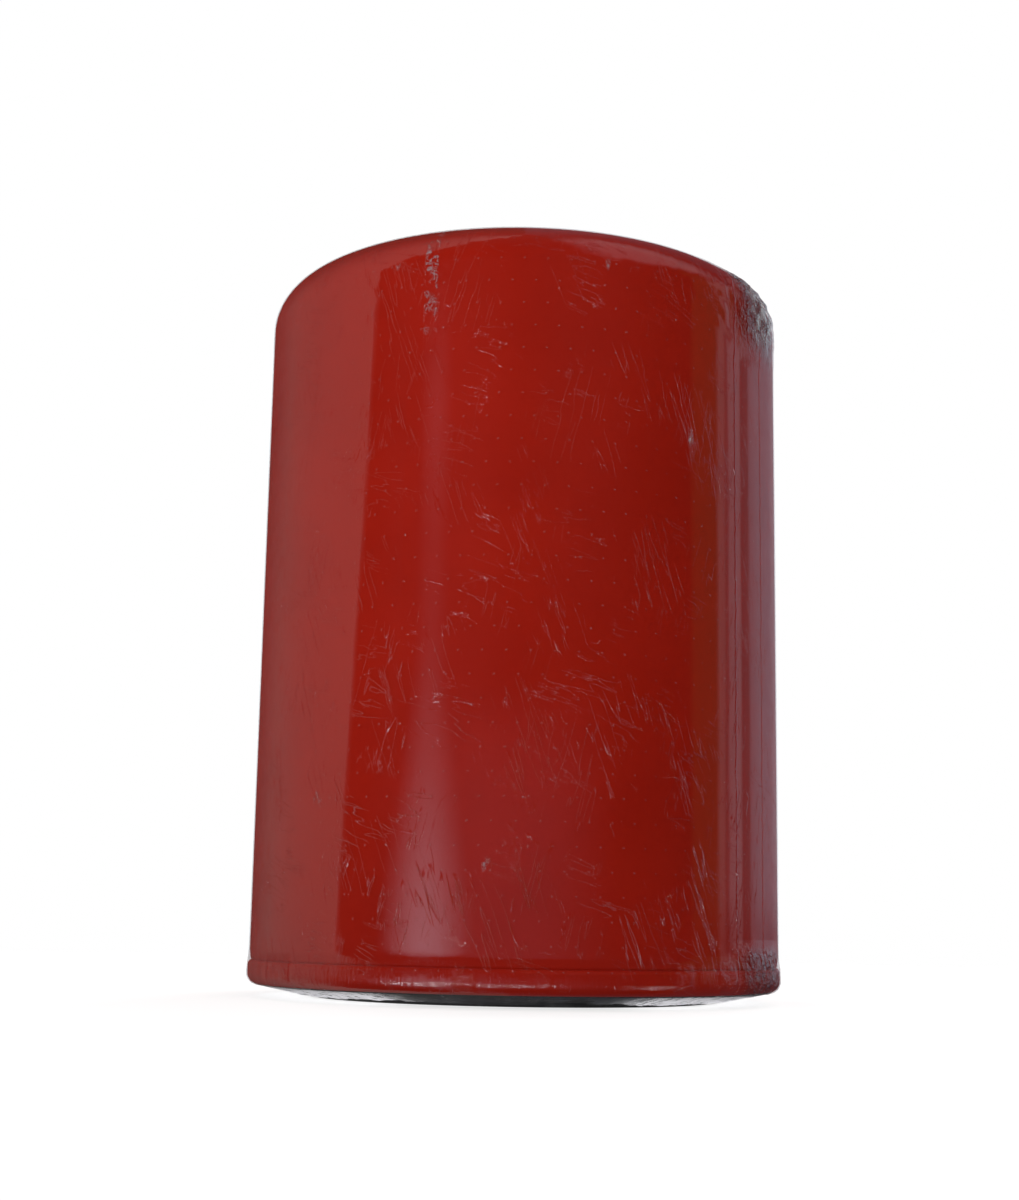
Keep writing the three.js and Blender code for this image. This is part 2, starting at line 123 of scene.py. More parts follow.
class Graph:
    """Short names for making shader nodes."""

    def __init__(self, tree):
        self.tree = tree
        tree.nodes.clear()

    def node(self, kind, inputs=(), **settings):
        made = self.tree.nodes.new("ShaderNode" + kind)
        for name, value in settings.items():
            setattr(made, name, value)
        for name, value in dict(inputs).items():
            self.feed(made.inputs[name], value)
        return made

    def feed(self, socket, value):
        if isinstance(value, bpy.types.NodeSocket):
            self.tree.links.new(value, socket)
        elif isinstance(value, bpy.types.Node):
            self.tree.links.new(value.outputs[0], socket)
        elif value is not None:
            socket.default_value = value

    def math(self, operation, *values, clamp=False):
        made = self.node("Math", operation=operation, use_clamp=clamp)
        for socket, value in zip(made.inputs, values):
            self.feed(socket, value)
        return made.outputs[0]

    def smooth(self, value, start, end, low=0.0, high=1.0):
        made = self.node("MapRange", interpolation_type="SMOOTHSTEP")
        for socket, given in zip(made.inputs, (value, start, end, low, high)):
            self.feed(socket, given)
        return made.outputs[0]

    def noise(self, vector, scale, detail=2.0, roughness=0.5, distortion=0.0):
        inputs = {"Vector": vector, "Scale": scale, "Detail": detail,
                  "Roughness": roughness, "Distortion": distortion}
        return self.node("TexNoise", inputs).outputs[0]

    def mix(self, factor, a, b, blend="MIX"):
        made = self.node("Mix", data_type="RGBA", blend_type=blend)
        self.feed(made.inputs[0], factor)
        self.feed(made.inputs[6], a)
        self.feed(made.inputs[7], b)
        return made.outputs[2]

    def ramp(self, value, stops, start=-180, end=180):
        """A colour for each value between start and end, from stops of (value, colour)."""
        share = self.node("MapRange")
        for socket, given in zip(share.inputs, (value, start, end, 0.0, 1.0)):
            self.feed(socket, given)
        made = self.node("ValToRGB", {0: share})
        elements = made.color_ramp.elements
        elements.remove(elements[1])
        for i, (at, colour) in enumerate(stops):
            position = (at - start) / (end - start)
            element = elements[0] if i == 0 else elements.new(position)
            element.position = position
            element.color = tuple(colour) + (1,)
        return made.outputs[0]

    def bump(self, height, strength, distance, normal=None):
        inputs = {"Height": height, "Strength": strength, "Distance": distance, "Normal": normal}
        return self.node("Bump", inputs).outputs[0]

    def place(self, scale=(1, 1, 1)):
        """Object position in millimetres, stretched by scale."""
        position = self.node("TexCoord").outputs["Object"]
        factors = tuple(1000 * s for s in scale)
        return self.node("VectorMath", {0: position, 1: factors}, operation="MULTIPLY").outputs[0]

    def round_place(self):
        """Arc length round the axis, radius and height, each in millimetres."""
        split = self.node("SeparateXYZ", {0: self.place()})
        angle = self.math("ARCTAN2", split.outputs[0], self.math("MULTIPLY", split.outputs[1], -1))
        squares = [self.math("MULTIPLY", s, s) for s in split.outputs[:2]]
        radius = self.math("SQRT", self.math("ADD", *squares))
        return self.math("MULTIPLY", angle, WALL_R), radius, split.outputs[2]

    def combine(self, x, y, z):
        return self.node("CombineXYZ", {0: x, 1: y, 2: z}).outputs[0]


def new_material(name):
    material = bpy.data.materials.new(name)
    material.use_nodes = True
    return material, Graph(material.node_tree)


def finish_material(graph, shader):
    graph.node("OutputMaterial", {"Surface": shader})


# ---------------------------------------------------------------- materials

def red_paint():
    """Deep red enamel with orange peel, rolled onto the can before it was seamed."""
    material, g = new_material("red_paint")
    place = g.place()
    tone = g.smooth(g.noise(place, 0.045, 3), 0.35, 0.65)
    color = g.mix(tone, (0.41, 0.0120, 0.0030, 1), (0.44, 0.0138, 0.0038, 1))
    speck = g.smooth(g.noise(place, 2.6, 2), 0.70, 0.76)
    color = g.mix(g.math("MULTIPLY", speck, 0.25), color, (0.30, 0.010, 0.006, 1))
    peel = g.noise(place, 0.9, 3, 0.55)
    around, _, height = g.round_place()
    drawn = g.noise(g.combine(g.math("MULTIPLY", around, 1.2), 0, g.math("MULTIPLY", height, 0.02)), 1.0, 3)
    normal = g.bump(drawn, 0.10, 0.00005, g.bump(peel, 0.22, 0.00008))
    rough = g.smooth(g.noise(place, 0.3, 4), 0.2, 0.8, 0.30, 0.42)
    finish_material(g, g.node("BsdfPrincipled", {
        "Base Color": color, "Roughness": rough, "Normal": normal, "Specular IOR Level": 0.08}))
    return material


def clear_film():
    """Shrink film: clear and glossy, with vent pinholes, scratches, fold lines and crinkles."""
    material, g = new_material("clear_film")
    around, radius, height = g.round_place()
    place = g.place()

    def times(*values):
        product = values[0]
        for value in values[1:]:
            product = g.math("MULTIPLY", product, value)
        return product

    def ridge(field, width):
        """Thin lines where a noise field crosses its middle."""
        return g.smooth(g.math("ABSOLUTE", g.math("SUBTRACT", field, 0.5)), 0.0, width, 1, 0)

    # Scratches in three directions, broken up, and stronger low on the wall.
    scratches = 0.0
    low = g.smooth(height, 80, 15, 0.35, 1.0)
    for turn, length, seed in ((0.35, 0.05, 3.1), (-0.25, 0.07, 9.7), (1.25, 0.11, 17.3)):
        across = g.math("ADD", times(around, math.cos(turn)), times(height, math.sin(turn)))
        along = g.math("SUBTRACT", times(height, math.cos(turn)), times(around, math.sin(turn)))
        field = g.noise(g.combine(times(across, 0.6), times(along, length), seed), 1.0, 2, 0.5, 0.3)
        broken = g.smooth(g.noise(g.combine(across, along, seed + 5), 0.09, 2), 0.52, 0.64)
        scratches = g.math("MAXIMUM", scratches, times(ridge(field, 0.012), broken))
    scratches = times(scratches, low)

    # Vent pinholes: rows one pitch apart, every other row moved by half a pitch.
    pitch = 3.8
    row = g.math("FLOOR", g.math("DIVIDE", height, pitch))
    moved = g.math("ADD", around, times(g.math("FLOORED_MODULO", row, 2.0), pitch / 2))
    du = g.math("SUBTRACT", g.math("FRACT", g.math("DIVIDE", moved, pitch)), 0.5)
    dv = g.math("SUBTRACT", g.math("FRACT", g.math("DIVIDE", height, pitch)), 0.5)
    apart = g.math("SQRT", g.math("ADD", times(du, du), times(dv, dv)))
    holes = g.smooth(apart, 0.022, 0.045, 1, 0)

    # The ears' crinkles and haze, two fold lines below the right ear, and a few small crinkle marks, whitened
    # and dulled as painted glints, with a column of them high on the wall left of the front.
    def ear(centre):
        off = g.math("ABSOLUTE", g.math("SUBTRACT", around, centre))
        high = g.smooth(height, 108, 119)
        seam = g.smooth(g.math("ABSOLUTE", g.math("SUBTRACT", height, 5.0)), 6.0, 2.0)
        return times(g.smooth(off, 13.0, 5.0), g.math("MAXIMUM", high, seam))

    crinkled = g.math("MAXIMUM", ear(52.0), ear(-93.5))
    crinkles = g.noise(place, 0.6, 3, 0.6, 0.8)
    outermost = g.smooth(g.math("ABSOLUTE", g.math("SUBTRACT", around, 55.0)), 11.0, 4.0)
    haze = times(crinkled, outermost, g.smooth(height, 110, 117), g.smooth(crinkles, 0.38, 0.55, 0.25, 1.0))
    wobble = times(g.math("SUBTRACT", g.noise(g.combine(0, 0, height), 0.22, 3, 0.6), 0.5), 1.6)
    folds = 0.0
    for centre in (41.2, 50.9):
        off = g.math("ABSOLUTE", g.math("SUBTRACT", g.math("ADD", around, wobble), centre))
        folds = g.math("MAXIMUM", folds, g.smooth(off, 0.32, 0.0))
    # Small crinkle marks in random patches and in one column: their bumps are real, their whitish, dull
    # colour is a painted glint.
    patches = g.smooth(g.noise(g.combine(around, times(height, 0.45), 31.0), 0.16, 2), 0.73, 0.77)
    column = times(g.smooth(g.math("ABSOLUTE", g.math("ADD", around, 15.5)), 1.3, 0.9),
                   g.smooth(height, 106, 109), g.smooth(g.noise(place, 0.35, 2), 0.44, 0.5))
    painted_glint_marks = times(ridge(g.noise(place, 1.1, 2, 0.5, 1.5), 0.06), g.math("MAXIMUM", patches, column))

    # Gathers over the seam and frosty film between the seam and the gasket.
    over_seam = g.smooth(g.math("ABSOLUTE", g.math("SUBTRACT", height, 5.0)), 2.8, 1.0)
    pleats = g.noise(g.combine(times(around, 1.6), times(height, 0.25), 2.0), 1.0, 3, 0.6)
    below = times(g.smooth(radius, 45.6, 44.4), g.smooth(height, 5.0, 3.5))
    side = g.smooth(g.math("ABSOLUTE", g.math("SUBTRACT", around, 0.5)), 15.0, 29.0, 0.12, 1.0)
    frost = times(below, side, g.smooth(g.noise(g.combine(around, times(radius, 0.4), 8.0), 0.8, 3, 0.6),
                                        0.30, 0.62, 0.60, 1.0))

    wave = g.noise(g.combine(times(around, 0.25), times(height, 0.03), 4.0), 1.0, 2)
    normal = g.bump(g.math("ADD", wave, times(g.noise(place, 0.3, 2), 0.15)), 0.30, 0.00006)
    puckered = times(over_seam, g.smooth(g.noise(g.combine(around, 0, 12.0), 0.12, 2), 0.5, 0.6))
    normal = g.bump(times(crinkles, g.math("MAXIMUM", crinkled, times(puckered, 0.45))), 1.0, 0.0014, normal)
    normal = g.bump(times(pleats, over_seam), 1.0, 0.00015, normal)
    normal = g.bump(folds, 1.0, 0.0003, normal)
    small = g.math("ADD", g.math("ADD", holes, times(scratches, 0.5)), painted_glint_marks)
    normal = g.bump(small, 1.0, 0.00025, normal)

    rough = g.math("ADD", 0.022, times(scratches, 0.25))
    rough = g.math("ADD", rough, times(crinkled, 0.06))
    rough = g.math("ADD", rough, times(frost, 0.35))
    fresnel = g.node("Fresnel", {"IOR": 1.5, "Normal": normal}).outputs[0]
    gloss_share = g.math("MINIMUM", times(fresnel, 1.9), g.smooth(crinkled, 0, 1, 0.30, 0.7))
    gloss_share = g.math("ADD", gloss_share, times(crinkled, g.smooth(crinkles, 0.5, 0.62), 0.12))
    # The crinkle marks' share of the cover and the dullness paints their glints as whitish spots.
    spots = g.math("ADD", times(g.math("MAXIMUM", times(scratches, 0.7), holes), 0.10), times(painted_glint_marks, 0.30))
    cover = g.math("ADD", g.math("ADD", gloss_share, spots), times(frost, 0.75))
    cover = g.math("ADD", cover, times(haze, 0.32), clamp=True)
    dull = g.math("MAXIMUM", times(g.math("MAXIMUM", frost, painted_glint_marks), 0.9), times(haze, 0.65))
    gloss = g.node("BsdfPrincipled", {
        "Base Color": (0.97, 0.96, 1.0, 1), "Roughness": rough, "Normal": normal,
        "Metallic": g.math("SUBTRACT", 1.0, dull)})
    clear = g.node("BsdfTransparent", {"Color": (1.0, 0.99, 1.0, 1)})
    finish_material(g, g.node("MixShader", {0: cover, 1: clear, 2: gloss}))
    return material


def steel(name, dark, light, rough, spangle=0.0, oily=0.0):
    """Sheet or turned steel: cloudy colour, fine drawing lines, optional zinc spangle and oil stains."""
    material, g = new_material(name)
    place = g.place()
    cloud = g.smooth(g.noise(place, 0.12, 4, 0.6), 0.3, 0.7)
    color = g.mix(cloud, dark + (1,), light + (1,))
    normal = None
    if spangle:
        cells = g.node("TexVoronoi", {"Vector": place, "Scale": 0.45}, feature="F1")
        flake = g.math("MULTIPLY", g.node("SeparateColor", {0: cells.outputs["Color"]}).outputs[0], spangle)
        color = g.mix(flake, color, tuple(0.6 * c for c in light) + (1,))
        normal = g.bump(flake, 0.15, 0.0001)
    if oily:
        stain = g.smooth(g.noise(place, 0.07, 3, 0.6, 0.8), 0.52, 0.62)
        color = g.mix(g.math("MULTIPLY", stain, oily), color, (0.16, 0.11, 0.06, 1))
    lines = g.noise(g.place((3, 0.15, 3)), 1.0, 3)
    normal = g.bump(lines, 0.12, 0.00004, normal)
    speck = g.noise(place, 3.0, 2)
    roughness = g.smooth(g.math("ADD", g.math("MULTIPLY", cloud, 0.5), g.math("MULTIPLY", speck, 0.5)),
                         0.2, 0.8, rough - 0.08, rough + 0.12)
    finish_material(g, g.node("BsdfPrincipled", {
        "Base Color": color, "Metallic": 1.0, "Roughness": roughness, "Normal": normal}))
    return material


def rubber(name, dark, light, rough):
    """Moulded rubber with a faint bloom and a fine grain."""
    material, g = new_material(name)
    place = g.place()
    bloom = g.smooth(g.noise(place, 0.25, 4, 0.6), 0.45, 0.75)
    color = g.mix(bloom, dark + (1,), light + (1,))
    normal = g.bump(g.noise(place, 4.0, 3), 0.25, 0.00005)
    roughness = g.smooth(bloom, 0, 1, rough, rough + 0.2)
    finish_material(g, g.node("BsdfPrincipled", {
        "Base Color": color, "Roughness": roughness, "Normal": normal}))
    return material


def filter_paper():
    """Resin-treated paper: fibres, small pits and brown resin clouds."""
    material, g = new_material("filter_paper")
    place = g.place()
    fibres = g.noise(g.place((2.5, 2.5, 0.5)), 1.0, 5, 0.7, 1.2)
    clouds = g.smooth(g.noise(place, 0.15, 3), 0.3, 0.7)
    color = g.mix(clouds, (0.60, 0.41, 0.17, 1), (0.50, 0.31, 0.12, 1))
    color = g.mix(g.smooth(fibres, 0.45, 0.7), color, (0.72, 0.55, 0.30, 1))
    normal = g.bump(fibres, 0.5, 0.0001)
    roughness = g.smooth(fibres, 0.2, 0.8, 0.95, 0.75)
    finish_material(g, g.node("BsdfPrincipled", {
        "Base Color": color, "Roughness": roughness, "Normal": normal}))
    return material


def plastic_mass(name, dark, light, rough):
    """A cured paste: plastisol or seam compound, with pits where bubbles broke."""
    material, g = new_material(name)
    place = g.place()
    cells = g.node("TexVoronoi", {"Vector": place, "Scale": 0.8}, feature="F1").outputs["Distance"]
    pits = g.smooth(cells, 0.05, 0.16, 1, 0)
    cloud = g.smooth(g.noise(place, 0.2, 3), 0.3, 0.7)
    color = g.mix(cloud, dark + (1,), light + (1,))
    normal = g.bump(g.math("SUBTRACT", g.noise(place, 0.8, 2), pits), 0.4, 0.0001)
    roughness = g.smooth(cloud, 0, 1, rough, rough + 0.15)
    finish_material(g, g.node("BsdfPrincipled", {
        "Base Color": color, "Roughness": roughness, "Normal": normal}))
    return material


PAINT = red_paint()
FILM = clear_film()
ZINC = steel("zinc_steel", (0.52, 0.53, 0.53), (0.66, 0.67, 0.67), 0.34, spangle=0.5)
PLATE = steel("plate_steel", (0.33, 0.33, 0.32), (0.46, 0.46, 0.45), 0.38, oily=0.35)
SPRING = steel("spring_steel", (0.22, 0.22, 0.23), (0.34, 0.34, 0.35), 0.32)
GASKET_RUBBER = rubber("black_rubber", (0.012, 0.012, 0.013), (0.035, 0.035, 0.037), 0.42)
VALVE_RUBBER = rubber("valve_rubber", (0.40, 0.075, 0.015), (0.50, 0.12, 0.035), 0.5)
PAPER = filter_paper()
PLASTISOL = plastic_mass("plastisol", (0.62, 0.55, 0.32), (0.74, 0.69, 0.48), 0.45)
COMPOUND = plastic_mass("sealing_compound", (0.09, 0.085, 0.08), (0.15, 0.14, 0.13), 0.6)


# ---------------------------------------------------------------- mesh helpers

def arc(centre_r, centre_z, radius, start, end, steps):
    """Points on an arc in the plane of radius and height; angles in degrees from outwards."""
    angles = np.radians(np.linspace(start, end, steps + 1))
    return np.stack([centre_r + radius * np.cos(angles), centre_z + radius * np.sin(angles)], axis=1)


def rounded(corners, radius, steps=4):
    """A closed outline with every corner rounded, as far as its two sides allow."""
    corners = [np.array(c, float) for c in corners]
    points = []
    for before, corner, after in zip(corners[-1:] + corners[:-1], corners, corners[1:] + corners[:1]):
        a, b = before - corner, after - corner
        length_a, length_b = np.linalg.norm(a), np.linalg.norm(b)
        a, b = a / length_a, b / length_b
        reach = min(radius, 0.45 * length_a, 0.45 * length_b)
        for t in np.linspace(0, 1, steps + 1):
            points.append(corner + a * reach * (1 - t) ** 2 + b * reach * t ** 2)
    return np.array(points)


def split_long(outline, longest, closed=True):
    """Adds points so that no side of the outline is longer than longest."""
    ends = np.roll(outline, -1, axis=0) if closed else outline[1:]
    points = []
    for start, end in zip(outline, ends):
        count = max(1, math.ceil(np.linalg.norm(end - start) / longest))
        points += [start + (end - start) * k / count for k in range(count)]
    if not closed:
        points.append(outline[-1])
    return np.array(points)


def add_object(name, vertices, faces, material, sharp=35):
    """A mesh object from millimetre vertices, smooth but for its sharp edges."""
    mesh = bpy.data.meshes.new(name)
    mesh.from_pydata((np.asarray(vertices, float) * MM).tolist(), [], faces)
    mesh.validate()
    work = bmesh.new()
    work.from_mesh(mesh)
    bmesh.ops.remove_doubles(work, verts=work.verts, dist=1e-7)
    bmesh.ops.recalc_face_normals(work, faces=work.faces)
    work.to_mesh(mesh)
    work.free()
    mesh.shade_smooth()
    mesh.set_sharp_from_angle(angle=math.radians(sharp))
    mesh.materials.append(material)
    made = bpy.data.objects.new(name, mesh)
    bpy.context.scene.collection.objects.link(made)
    return made


def turned_grid(outline, sides):
    """Angles and the vertices of an outline turned about Z, as an array of side by point by xyz."""
    angles = np.arange(sides) * TAU / sides
    outline = np.asarray(outline, float)
    vertices = np.empty((sides, len(outline), 3))
    vertices[..., 0] = np.cos(angles)[:, None] * outline[:, 0]
    vertices[..., 1] = np.sin(angles)[:, None] * outline[:, 0]
    vertices[..., 2] = outline[:, 1]
    return angles, vertices


def grid_faces(sides, points, closed):
    """Quads between neighbouring sides; closed joins the outline's last point to its first."""
    i, j = np.meshgrid(np.arange(sides), np.arange(points if closed else points - 1), indexing="ij")
    i, j = i.ravel(), j.ravel()
    i2, j2 = (i + 1) % sides, (j + 1) % points
    return np.stack([i * points + j, i2 * points + j, i2 * points + j2, i * points + j2], axis=1).tolist()


def turned(name, outline, material, sides=128, closed=True, shape=None, sharp=35):
    """A turned piece. shape may move the grid's vertices, given the angles and the grid."""
    angles, vertices = turned_grid(outline, sides)
    if shape:
        vertices = shape(angles, vertices)
    return add_object(name, vertices.reshape(-1, 3), grid_faces(sides, len(outline), closed), material, sharp)


def wire_coil(name, radius, wire_r, bottom, top, turns, flat_turns, material, sides=16, steps=56):
    """A coil spring with flat ground ends, bottom and top being the levels of its outside."""
    t = np.linspace(0, turns, int(turns * steps) + 1)
    rise = np.clip((t - flat_turns) / (turns - 2 * flat_turns), 0, 1)
    rise = rise * 0.7 + 0.3 * rise * rise * (3 - 2 * rise)
    centre = np.stack([radius * np.cos(TAU * t), radius * np.sin(TAU * t),
                       bottom + wire_r + (top - bottom - 2 * wire_r) * rise], axis=1)
    tangent = np.gradient(centre, axis=0)
    tangent /= np.linalg.norm(tangent, axis=1)[:, None]
    outward = np.stack([np.cos(TAU * t), np.sin(TAU * t), 0 * t], axis=1)
    upward = np.cross(tangent, outward)
    around = np.arange(sides) * TAU / sides
    rings = (centre[:, None] + wire_r * (np.cos(around)[None, :, None] * outward[:, None]
                                         + np.sin(around)[None, :, None] * upward[:, None]))
    vertices = rings.reshape(-1, 3)
    faces = []
    for i in range(len(t) - 1):
        for j in range(sides):
            k = (j + 1) % sides
            faces.append([i * sides + j, i * sides + k, (i + 1) * sides + k, (i + 1) * sides + j])
    faces.append(list(range(sides))[::-1])
    faces.append([(len(t) - 1) * sides + j for j in range(sides)])
    return add_object(name, vertices, faces, material)


def prism_parts(outline, start, end):
    """Vertices and faces of a solid between an outline's copies at two places."""
    count = len(outline)
    vertices = np.concatenate([outline + np.array(start), outline + np.array(end)])
    faces = [[i, (i + 1) % count, count + (i + 1) % count, count + i] for i in range(count)]
    return vertices, faces + [list(range(count))[::-1], list(range(count, 2 * count))]


def drill_parts(centre, axis, radius, length, sides=32):
    """A cylinder to cut with, about its centre."""
    angles = np.arange(sides) * TAU / sides
    turn = np.array(Vector((0, 0, 1)).rotation_difference(Vector(axis)).to_matrix())
    ring = np.stack([radius * np.cos(angles), radius * np.sin(angles), 0 * angles], axis=1) @ turn.T
    reach = np.array(axis) * length / 2
    return prism_parts(ring, np.array(centre) - reach, np.array(centre) + reach)


def cut_out(piece, parts):
    """Cuts a list of separate solids out of a piece."""
    vertices, faces, first = [], [], 0
    for part_vertices, part_faces in parts:
        vertices.append(part_vertices)
        faces += [[first + i for i in face] for face in part_faces]
        first += len(part_vertices)
    cutter = add_object("cutter", np.concatenate(vertices), faces, PLATE)
    step = piece.modifiers.new("cut", "BOOLEAN")
    step.operation = "DIFFERENCE"
    step.solver = "EXACT"
    step.object = cutter
    bpy.context.view_layer.update()
    mesh = bpy.data.meshes.new_from_object(piece.evaluated_get(bpy.context.evaluated_depsgraph_get()))
    piece.modifiers.clear()
    piece.data = mesh
    mesh.shade_smooth()
    mesh.set_sharp_from_angle(angle=math.radians(35))
    bpy.data.objects.remove(cutter)


def settle(piece, body, node):
    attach(piece, body)
    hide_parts(node)
    return piece


# ---------------------------------------------------------------- can

def can_outline(inset, dome_steps, shoulder_steps, start_r=0.0):
    """The dome, shoulder and wall of the can on a surface set in from the outside by inset."""
    radius = DOME_R - inset
    angles = np.linspace(math.asin(start_r / radius), DOME_EDGE, dome_steps + 1)[:-1]
    dome = np.stack([radius * np.sin(angles), DOME_CENTRE_Z + radius * np.cos(angles)], axis=1)
    shoulder = arc(WALL_R - SHOULDER_R, SHOULDER_Z, SHOULDER_R - inset,
                   90 - math.degrees(DOME_EDGE), 0, shoulder_steps)
    return np.concatenate([dome, shoulder])


def seam_side(inset):
    """The wall's foot, the crease and the flank of the rolled seam, from the top down."""
    ease = np.linspace(0, 1, 9)
    draw_in = np.stack([WALL_R - (WALL_R - CREASE_R) * ease ** 2 * (3 - 2 * ease),
                        CREASE_Z + 0.1 + 1.7 * (1 - ease)], axis=1)
    bead = arc(SEAM_R - 0.9, CREASE_Z - 1.0, 0.9, 72, 0, 8)
    return np.concatenate([draw_in, bead, [[SEAM_R, BEAD_Z]]]) - (inset, 0)


def seam_corner(inset, start, end, steps):
    """The seam's rounded bottom: an ellipse quarter outside, angles in degrees from outwards."""
    angles = np.radians(np.linspace(start, end, steps + 1))
    return np.stack([SEAM_R - 1.6 + (1.6 - inset) * np.cos(angles),
                     BEAD_Z + (1.9 - inset) * np.sin(angles)], axis=1)


def can():
    outside = np.concatenate([
        can_outline(0, 10, 18), seam_side(0), seam_corner(0, -8, -90, 12),
        [[SEAM_INNER_R + 0.2, SEAM_BOTTOM + 0.07], [SEAM_INNER_R + 0.05, SEAM_BOTTOM + 0.25],
         [SEAM_INNER_R, SEAM_BOTTOM + 0.5], [SEAM_INNER_R, LEG_TOP]],
    ])
    inside = np.concatenate([
        [[SEAM_INNER_R + SHEET, LEG_TOP], [SEAM_INNER_R + SHEET, SEAM_BOTTOM + 0.8]],
        seam_corner(SHEET, -80, -8, 8), seam_side(SHEET)[::-1], can_outline(SHEET, 6, 10)[::-1],
    ])
    outline = np.concatenate([outside, inside])
    outline[0, 0] = outline[-1, 0] = 0.02
    piece = turned("can", split_long(outline, 12), PAINT, 256, sharp=50)
    return settle(piece, "canister", "shell")


# ---------------------------------------------------------------- base

def gasket():
    low, high = GASKET_FACE, GASKET_TOP
    outline = rounded([(GASKET_R - GASKET_WIDTH, low), (GASKET_R, low), (GASKET_R, high),
                       (GASKET_R - GASKET_WIDTH, high)], 0.7, 5)
    piece = turned("gasket", split_long(outline, 1.2), GASKET_RUBBER, 192, sharp=60)
    return settle(piece, "canister", "sealing_gasket")


def retainer():
    """Thin zinc-plated lid, with spot welds in the ring that lies on the tapping plate."""
    outer_r = box_mm("retainer")[0]
    flange, top = 4.0, LEG_TOP + 0.8
    hook = SEAM_BOTTOM + 1.8
    wall_r = SEAM_INNER_R - 0.3
    groove_r = GASKET_R + 0.3
    rib_r = GASKET_R - GASKET_WIDTH - 0.3
    floor = GASKET_TOP + 0.3
    opening_r = 27.0
    rib_low = 4.3
    outline = [
        (outer_r - SHEET, hook), (outer_r - 0.1, hook), (outer_r - 0.1, top), (wall_r - SHEET, top),
        (wall_r - SHEET, flange + SHEET), (groove_r + SHEET, flange + SHEET),
        (groove_r + SHEET, floor + SHEET), (opening_r, floor + SHEET), (opening_r, floor),
        (rib_r - 0.7, floor), (rib_r - 0.7, rib_low), (rib_r, rib_low), (rib_r, floor),
        (groove_r, floor), (groove_r, flange), (wall_r, flange), (wall_r, top - SHEET),
        (outer_r - SHEET, top - SHEET),
    ]
    section = split_long(rounded(outline, 0.35, 3), 0.45)
    weld_count, weld_r, weld_size, depth = 6, 28.55, 0.85, 0.18

    def weld(angles, vertices):
        radius = np.hypot(vertices[..., 0], vertices[..., 1])
        step = TAU / weld_count
        off = (angles + step / 2) % step - step / 2
        distance = np.hypot(off[:, None] * weld_r, radius - weld_r) / weld_size
        ring = 0.35 * np.exp(-((distance - 1.15) / 0.2) ** 2)
        dent = np.exp(-distance ** 4)
        lower = vertices[..., 2] < floor + 0.1
        vertices[..., 2] += np.where(lower & (radius < rib_r - 0.75), depth * (dent - ring), 0)
        return vertices

    piece = turned("retainer_lid", section, ZINC, 288, shape=weld)
    return settle(piece, "canister", "retainer")


def threaded_plate():
    """Tapping plate with a true 60 degree helical thread in its drawn collar."""
    plate_r, bottom, top = box_mm("tapping_plate")
    plate_top = bottom + 3.2
    collar_r, minor, major, pitch = 12.2, 8.7, 9.525, 25.4 / 16
    outer = np.concatenate([
        arc(plate_r - 0.5, bottom + 0.5, 0.5, -90, 0, 4), arc(plate_r - 0.3, plate_top - 0.3, 0.3, 0, 90, 4),
        arc(collar_r + 1.6, plate_top + 1.6, 1.6, 270, 180, 6), arc(collar_r - 0.5, top - 0.5, 0.5, 0, 90, 4),
    ])
    bore_z = np.linspace(top - 0.15, bottom + 0.9, 90)
    bore = np.stack([np.full_like(bore_z, minor), bore_z], axis=1)
    mouth = [[minor + 0.7, bottom + 0.35], [minor + 1.1, bottom + 0.1], [minor + 1.6, bottom]]
    outline = np.concatenate([outer, [[minor + 1.0, top]], bore, mouth])
    first = len(outer) + 1

    def thread(angles, vertices):
        phase = (bore_z[None, :] / pitch - angles[:, None] / TAU) % 1
        tooth = np.clip(np.abs(phase - 0.5) * 2.5 - 0.2, 0, 1)
        flare = np.clip((bore_z - (top - 0.9)) / 0.9, 0, 1) + np.clip((bottom + 1.8 - bore_z) / 0.9, 0, 1)
        radius = minor + (major - minor) * np.maximum(tooth, flare)
        block = vertices[:, first:first + len(bore_z)]
        block[..., 0] = np.cos(angles)[:, None] * radius
        block[..., 1] = np.sin(angles)[:, None] * radius
        return vertices

    piece = turned("threaded_plate", outline, PLATE, 144, shape=thread, sharp=28)
    inlet_count, circle_r, inlet_r = 8, 20.2, 3.0
    inlets = []
    for i in range(inlet_count):
        angle = TAU * (i + 0.5) / inlet_count
        centre = (circle_r * math.cos(angle), circle_r * math.sin(angle), (bottom + plate_top) / 2)
        inlets.append(drill_parts(centre, (0, 0, 1), inlet_r, 12))
    cut_out(piece, inlets)
    return settle(piece, "canister", "tapping_plate")


def drainback_cone():
    lip_r, bottom, top = box_mm("antidrainback_valve")
    bore, sleeve_r, neck_r, crown_r = 12.5, 14.0, 15.4, 18.0
    sleeve_low, cone_low, cone_high = 12.3, 14.4, 15.8
    outline = [
        (bore, sleeve_low), (sleeve_r, sleeve_low), (sleeve_r, cone_low), (lip_r - 2.6, bottom + 0.5),
        (lip_r - 1.8, bottom), (lip_r - 0.2, bottom), (lip_r, bottom + 0.6), (lip_r - 1.0, bottom + 1.3),
        (neck_r, cone_high), (neck_r, top - 1.6), (crown_r, top - 1.2), (crown_r, top), (bore, top),
    ]
    piece = turned("drainback_cone", split_long(rounded(outline, 0.5, 4), 1.5), VALVE_RUBBER, 128, sharp=60)
    return settle(piece, "canister", "antidrainback_valve")


def seam_compound():
    outer_r, bottom, top = box_mm("seam_sealant")
    inner_r = outer_r - 0.5
    outline = rounded([(inner_r, bottom), (outer_r, bottom), (outer_r, top), (inner_r, top)], 0.18, 3)
    piece = turned("seam_compound", outline, COMPOUND, 192, sharp=80)
    return settle(piece, "canister", "seam_sealant")


# ---------------------------------------------------------------- element

